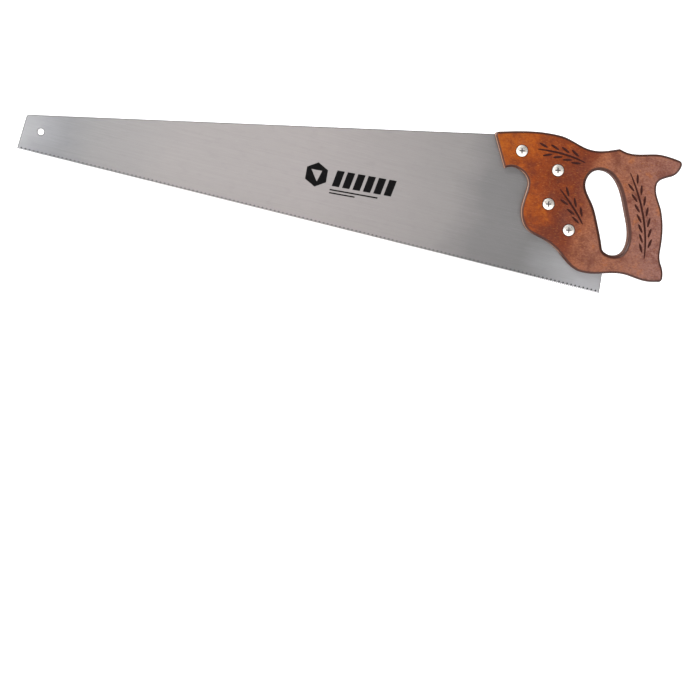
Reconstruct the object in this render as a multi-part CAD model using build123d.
from build123d import *
from math import cos, radians, sin, tan
import os

# A 26-inch hand saw: a tapered steel blade, a hardwood handle, four saw screws and their barrel nuts.
# Millimetres. The saw stands on its teeth with the blade upright: +X runs from the toe to the handle,
# +Z from the tooth points to the back, and -Y is the face that the screw heads are on. Outlines are
# drawn from the toe corner of the tooth line, as (along, up). Every piece is then moved so that the
# origin is at the middle of the saw's length, in the blade's middle plane, level with the tooth points.

# Blade
TOOTH_LINE = 660.4  # 26 inches
PITCH = 25.4 / 11  # 11 teeth to the inch
TOOTH_DEPTH = 1.3
BLADE_THICKNESS = 0.9
TOE_WIDTH = 39.0
BACK_TAPER_DEG = 11.69
TOE_LEAN_DEG = 3.5
HEEL_LEAN_DEG = 5.5
TOE_CORNER_R = 3.0
HANG_HOLE_D = 7.0
HANG_HOLE_AT = (21.4, 24.9)

# The end of the blade inside the handle, from the back down towards the heel edge
TANG_CORNERS = [(566.0, 155.0), (606.0, 106.0), (640.0, 47.0)]
TANG_HEEL_Z = 31.0

# Handle
HANDLE_THICKNESS = 22.0
RIM_ROUND = 3.0
HOLE_ROUND = 4.0
KERF_GAP = 1.0  # between the blade's hidden end and the end of the saw cut
KERF_ROOM = 30.0  # how far the cut's outline runs past the wood
NOSE_TOP = (503.6, 144.6)
NOSE_LOW = (524.3, 108.6)
TOP_CREST = (575, 158)
TOP_DIP = (612, 151)
TOP_PEAK = (642, 159.5)
HORN_DIP = (653, 157.5)
HORN_CREST = (690, 164.3)
HORN_TIP = (712.2, 162.2)
HORN_ROOT = (704, 143.5)
THROAT = (691, 131)
PALM = (703, 105)
PALM_LOW = (713, 62)
HEEL_RISE = (718, 47)
HEEL_TIP = (722.6, 29.2)
HEEL_DIP = (703, 25.7)
HEEL_CREST = (681, 27.5)
BELLY = (635, 18.6)
BELLY_RISE = (605, 34)
CHIN = (583, 44)
JAW = (562, 52)
CHEST = (553, 75)
BREAST = (554, 96)
NOSE_ROOT = (534, 112.5)
CORNER_R = {NOSE_TOP: 4.0, HORN_TIP: 4.5, HEEL_TIP: 4.5}

# Saw screws and barrel nuts
FASTENERS_AT = [(538.2, 131.6), (581.7, 120.5), (580.7, 82.4), (609.4, 60.0)]
HEAD_D = 12.4
HEAD_SEAT = 2.0  # how deep the head sits in the wood
HEAD_DOME = 0.8  # how far the screw's crown stands proud
NUT_CHAMFER = 0.4
COUNTERBORE_D = 13.0
HANDLE_BORE_D = 7.4
BLADE_BORE_D = 8.0
SHANK_D = 4.8
SHANK_LENGTH = 15.0
BARREL_D = 7.0
BARREL_LENGTH = 15.0
BARREL_BORE_D = 4.9
BARREL_BORE_DEPTH = 13.5
RECESS_LENGTH = 6.0
RECESS_WIDTH = 1.4
RECESS_DEPTH = 1.7
RECESS_TURN_DEG = -12.0
SLOT_WIDTH = 1.5
SLOT_DEPTH = 1.2


def slab(outline, thickness):
    """The outline as a plate of this thickness, centred on the blade's middle plane."""
    return extrude(Plane.XZ * make_face(outline), thickness / 2, both=True)


def rod(at, diameter, y_from, y_to):
    """A cylinder along Y through a point of the side view."""
    along, up = at
    section = Plane((along, y_from, up), x_dir=(1, 0, 0), z_dir=(0, 1, 0)) * Circle(diameter / 2)
    return extrude(section, y_to - y_from)


def upright_edge(solid, at):
    """The edge along Y nearest to a point of the side view."""
    along, up = at
    return solid.edges().filter_by(Axis.Y).sort_by_distance((along, 0, up))[0]


def back_point(along):
    return (along, TOE_WIDTH + along * tan(radians(BACK_TAPER_DEG)))


def heel_point(up):
    return (TOOTH_LINE - up * tan(radians(HEEL_LEAN_DEG)), up)


def tooth_points():
    """Tips and gullets, from the heel to the toe."""
    points = []
    for i in range(round(TOOTH_LINE / PITCH)):
        tip = TOOTH_LINE - i * PITCH
        points += [(tip, 0), (tip - PITCH / 2, TOOTH_DEPTH)]
    return points + [(0, 0)]


def blade():
    """The tapered sheet with its teeth, its hanging hole and the holes for the fasteners."""
    toe_top = back_point(TOE_WIDTH * tan(radians(TOE_LEAN_DEG)))
    corners = [toe_top, *TANG_CORNERS, heel_point(TANG_HEEL_Z), *tooth_points()]
    sheet = slab(Polyline(*corners, close=True), BLADE_THICKNESS)
    sheet = fillet(upright_edge(sheet, toe_top), TOE_CORNER_R)
    sheet -= rod(HANG_HOLE_AT, HANG_HOLE_D, -BLADE_THICKNESS, BLADE_THICKNESS)
    for at in FASTENERS_AT:
        sheet -= rod(at, BLADE_BORE_D, -BLADE_THICKNESS, BLADE_THICKNESS)
    return sheet


def curve(*stations):
    """A smooth edge through (point, heading) stations, the headings in degrees up from +X."""
    points = [point for point, heading in stations]
    headings = [(cos(radians(heading)), sin(radians(heading))) for point, heading in stations]
    return Spline(*points, tangents=headings)


def handle_outline():
    """The outer edge: the top in two curves that meet at a peak, the back, the bottom and the nose."""
    top_front = curve((NOSE_TOP, 16), (TOP_CREST, 0), (TOP_DIP, 0), (TOP_PEAK, 22))
    top_back = curve((TOP_PEAK, -14), (HORN_DIP, 0), (HORN_CREST, 0), (HORN_TIP, -12))
    back = curve(
        (HORN_TIP, -80), (HORN_ROOT, 208), (THROAT, -90), (PALM, -65), (PALM_LOW, -86),
        (HEEL_RISE, -54), (HEEL_TIP, -100),
    )
    bottom = curve(
        (HEEL_TIP, 193), (HEEL_DIP, 180), (HEEL_CREST, 180), (BELLY, 180), (BELLY_RISE, 145),
        (CHIN, 166), (JAW, 135), (CHEST, 90), (BREAST, 90), (NOSE_ROOT, 180), (NOSE_LOW, 215),
    )
    return [top_front, top_back, back, bottom, Line(NOSE_LOW, NOSE_TOP)]


def hand_hole_outline():
    """The closed grip opening, long and slanted, widest at its top."""
    front = [(650, 50), (638, 76), (627, 95), (615, 114), (620, 128.5)]
    back = [(635, 131.5), (650, 121), (665, 94), (675.5, 60), (672, 49), (660, 44.5)]
    return Spline(*front, *back, periodic=True)


def rim_edges(solid):
    """The edges of both flat cheeks."""
    return [e for e in solid.edges() if abs(abs(e.center().Y) - HANDLE_THICKNESS / 2) < 0.01]


def wooden_board():
    """The handle's board with its rims and its hand hole rounded over."""
    board = slab(handle_outline(), HANDLE_THICKNESS)
    for corner, radius in CORNER_R.items():
        board = fillet(upright_edge(board, corner), radius)
    board = fillet(rim_edges(board), RIM_ROUND)
    outer_rim = rim_edges(board)
    board -= slab(hand_hole_outline(), HANDLE_THICKNESS)
    known = [e.center() for e in outer_rim]
    hole_rim = [e for e in rim_edges(board) if min((e.center() - c).length for c in known) > 0.01]
    return fillet(hole_rim, HOLE_ROUND)


def kerf():
    """What the saw cut takes out of the handle: open in front and above, closed behind the blade."""
    front = NOSE_TOP[0] - KERF_ROOM
    above = NOSE_TOP[1] + KERF_ROOM
    hidden_end = [*TANG_CORNERS, heel_point(TANG_HEEL_Z), heel_point(0)]
    closed_end = [(along + KERF_GAP, up) for along, up in hidden_end]
    corners = [(front, above), (closed_end[0][0], above), *closed_end, (front, 0)]
    return slab(Polyline(*corners, close=True), BLADE_THICKNESS)


def handle():
    """The wooden board with the saw cut for the blade and the stepped bores for the fasteners."""
    face = HANDLE_THICKNESS / 2
    seat = face - HEAD_SEAT
    wood = wooden_board() - kerf()
    for at in FASTENERS_AT:
        wood -= rod(at, HANDLE_BORE_D, -face, face)
        wood -= rod(at, COUNTERBORE_D, -face, -seat)
        wood -= rod(at, COUNTERBORE_D, seat, face)
    return wood


def domed_head():
    """The screw's round head with its low crown, along +Y from its seat at the wood."""
    seat = HANDLE_THICKNESS / 2 - HEAD_SEAT
    radius = HEAD_D / 2
    rim = (radius, seat + HEAD_SEAT)
    top = (0, seat + HEAD_SEAT + HEAD_DOME)
    flank = (0.55 * radius, seat + HEAD_SEAT + 0.7 * HEAD_DOME)
    outline = [Polyline(top, (0, seat), (radius, seat), rim), ThreePointArc(rim, flank, top)]
    return revolve(make_face(outline), Axis.Y)


def saw_screw(at):
    """The male screw: a domed head with a cross recess on the -Y side, and a plain shank."""
    seat = HEAD_SEAT - HANDLE_THICKNESS / 2
    top = -HANDLE_THICKNESS / 2 - HEAD_DOME
    arm = Pos(0, top, 0) * Box(RECESS_LENGTH, 2 * RECESS_DEPTH, RECESS_WIDTH)
    cross = Rot(0, RECESS_TURN_DEG, 0) * (arm + Rot(0, 90, 0) * arm)
    along, up = at
    screw = mirror(domed_head(), Plane.XZ) + rod((0, 0), SHANK_D, seat, seat + SHANK_LENGTH)
    return Pos(along, 0, up) * (screw - cross)


def saw_nut(at):
    """The barrel nut: a flat slotted head, flush with the +Y cheek, and a barrel with a blind bore."""
    face = HANDLE_THICKNESS / 2
    seat = face - HEAD_SEAT
    mouth = seat - BARREL_LENGTH
    head = rod((0, 0), HEAD_D, seat, face)
    head = chamfer(head.edges().sort_by(Axis.Y)[-1], NUT_CHAMFER)
    nut = head + rod((0, 0), BARREL_D, mouth, seat)
    nut -= rod((0, 0), BARREL_BORE_D, mouth, mouth + BARREL_BORE_DEPTH)
    nut -= Pos(0, face, 0) * Box(HEAD_D, 2 * SLOT_DEPTH, SLOT_WIDTH)
    along, up = at
    return Pos(along, 0, up) * nut


def pieces():
    """Every piece by its name, drawn from the toe corner."""
    found = {"blade": blade(), "handle": handle()}
    for number, at in enumerate(FASTENERS_AT, start=1):
        found[f"saw_screw_{number}"] = saw_screw(at)
        found[f"saw_nut_{number}"] = saw_nut(at)
    return found


os.makedirs("parts", exist_ok=True)
saw = pieces()
middle = saw["handle"].bounding_box().max.X / 2
for name, piece in saw.items():
    export_step(Pos(-middle, 0, 0) * piece, f"parts/{name}.step")
